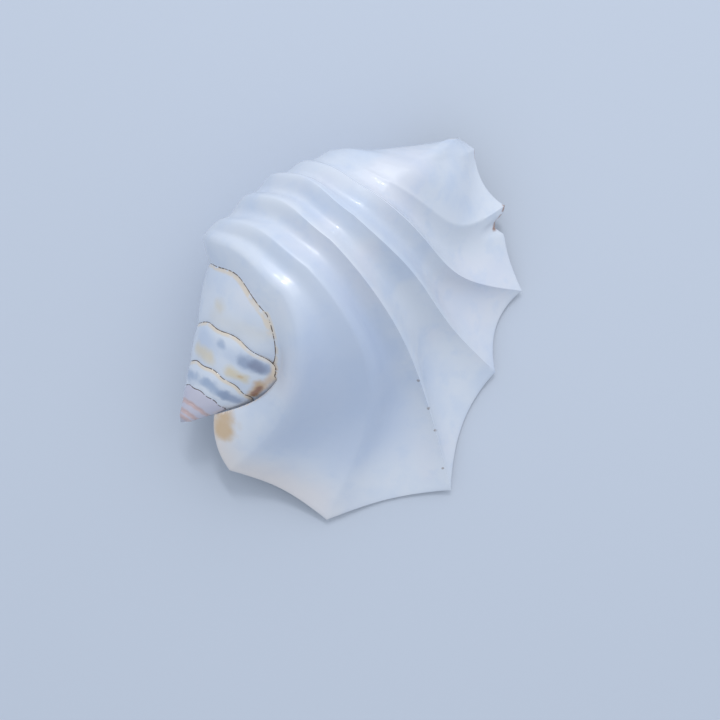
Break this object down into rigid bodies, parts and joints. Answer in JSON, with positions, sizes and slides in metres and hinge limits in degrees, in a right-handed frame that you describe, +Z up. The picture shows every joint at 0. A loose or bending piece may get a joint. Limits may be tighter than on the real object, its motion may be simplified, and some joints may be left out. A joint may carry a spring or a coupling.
{
  "type": "conch shell",
  "caption": "Spider conch shell with a low spire, sweeping ribs and a wide flared lip whose long points are ground short, polished white.",
  "frame": {"origin": "middle of the shell's footprint, on the surface that it lies on", "axes": "+Z up out of the shell's back, +Y from the tip of the spire to the canal, +X to the flared lip"},
  "size_m": [0.1354, 0.1556, 0.071],
  "materials": {
    "shell": "polished white shell, glossy, faintly bluish in the hollows, thin brown seams on the spire"
  },
  "bodies": {
    "root": {"shell": "shell"}
  },
  "joints": []
}
